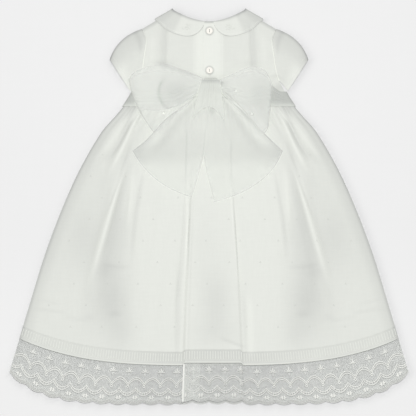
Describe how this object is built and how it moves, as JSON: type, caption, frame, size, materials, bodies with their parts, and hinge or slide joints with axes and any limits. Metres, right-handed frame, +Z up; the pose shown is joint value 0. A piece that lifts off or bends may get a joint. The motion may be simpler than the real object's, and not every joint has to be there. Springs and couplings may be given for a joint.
{
  "type": "christening gown",
  "caption": "Baby's white christening gown laid flat, back up: round collar, short sleeves, sheer sash tied in a bow, gathered skirt with hemstitched hem and scalloped lace edging.",
  "frame": {"origin": "on the surface that the gown lies on, under the middle of its outline", "axes": "+Z up from that surface, +Y from the hem to the neck, +X to the right as seen from above"},
  "size_m": [0.5864, 0.5939, 0.0351],
  "materials": {
    "cotton_lawn": "fine plain-woven white lawn, matt",
    "organza": "sheer crisp white organza with a faint sheen",
    "lace": "white cotton lace on a fine net ground",
    "button": "warm white pearl gloss"
  },
  "bodies": {
    "root": {"bodice_front": "cotton_lawn", "skirt_front": "cotton_lawn", "hem_band_front": "cotton_lawn", "skirt_back": "cotton_lawn", "hem_band_back": "cotton_lawn", "bodice_back_left": "cotton_lawn", "bodice_back_right": "cotton_lawn", "sleeve_left": "cotton_lawn", "sleeve_right": "cotton_lawn", "collar_left": "cotton_lawn", "collar_right": "cotton_lawn", "sash_front": "organza", "sash_back_left": "organza", "sash_back_right": "organza", "bow_loop_left": "organza", "bow_loop_right": "organza", "bow_tail_left": "organza", "bow_tail_right": "organza", "bow_knot": "organza", "lace_front": "lace", "lace_back": "lace", "button_1": "button", "button_2": "button"}
  },
  "joints": []
}
